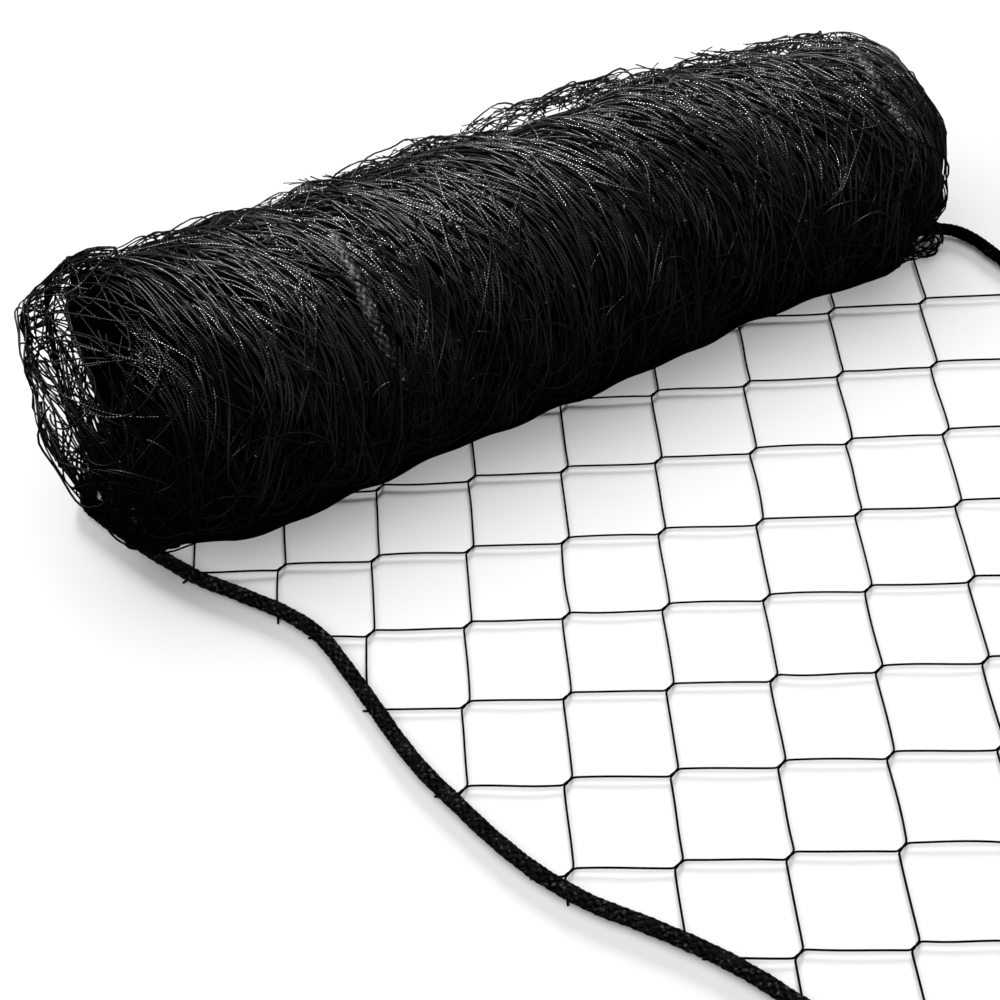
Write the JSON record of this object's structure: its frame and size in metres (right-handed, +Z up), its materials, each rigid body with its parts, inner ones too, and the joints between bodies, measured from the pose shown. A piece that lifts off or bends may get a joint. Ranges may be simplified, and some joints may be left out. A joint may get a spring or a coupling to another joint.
{
  "type": "roll of pet safety netting",
  "caption": "Loosely wound roll of black knotted netting for closing off a balcony or window, with a flat lead of open square mesh running out from under it, edged by a border rope.",
  "frame": {"origin": "middle of the flat spot that the roll rests on, on the floor", "axes": "+X along the roll from its loose left end to its right end, +Y to the back, away from the lead, +Z up"},
  "size_m": [0.3144, 0.3392, 0.098],
  "materials": {
    "net_twine": "black twisted polyethylene twine with a slight gloss",
    "border_rope": "black braided polypropylene rope, matt and a little hairy"
  },
  "bodies": {
    "root": {"net_roll": "net_twine", "net_lead": "net_twine", "border_rope": "border_rope"}
  },
  "joints": []
}
